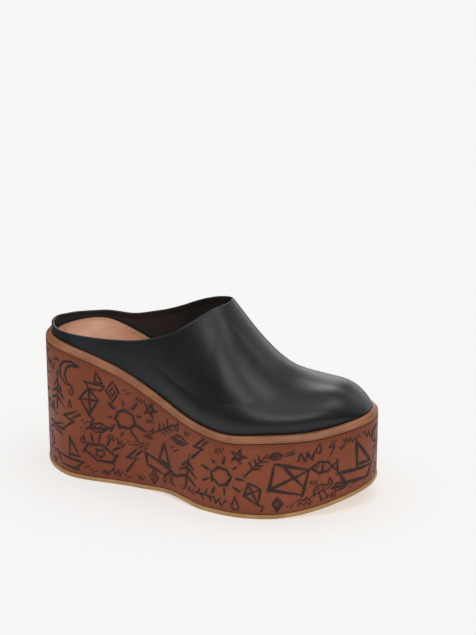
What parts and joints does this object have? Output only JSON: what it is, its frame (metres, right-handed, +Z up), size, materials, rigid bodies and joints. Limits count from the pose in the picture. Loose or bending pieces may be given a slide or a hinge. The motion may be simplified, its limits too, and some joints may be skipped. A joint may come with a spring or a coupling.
{
  "type": "wedge mule",
  "caption": "Right-foot slip-on mule: closed round toe, low open collar, hollow leather upper on a tall sculpted platform wedge with a rand and gum outsole.",
  "frame": {"origin": "on the floor, midway along the sole's length and midway across its width", "axes": "+X towards the toe, -Y the outer (lateral) side of this right shoe, +Y the inner (medial) side, +Z up"},
  "size_m": [0.256, 0.1068, 0.1438],
  "materials": {
    "gum_rubber": "matte honey-coloured gum",
    "tan_wedge_leather": "smooth tan leather, semi-gloss, with dark hand-carved marks",
    "tan_rand_leather": "smooth light brown leather, semi-gloss",
    "tan_insole_leather": "soft matte tan leather",
    "black_upper_leather": "smooth black calf, satin sheen"
  },
  "bodies": {
    "root": {"outsole": "gum_rubber", "wedge": "tan_wedge_leather", "rand": "tan_rand_leather", "insole": "tan_insole_leather", "upper": "black_upper_leather"}
  },
  "joints": []
}
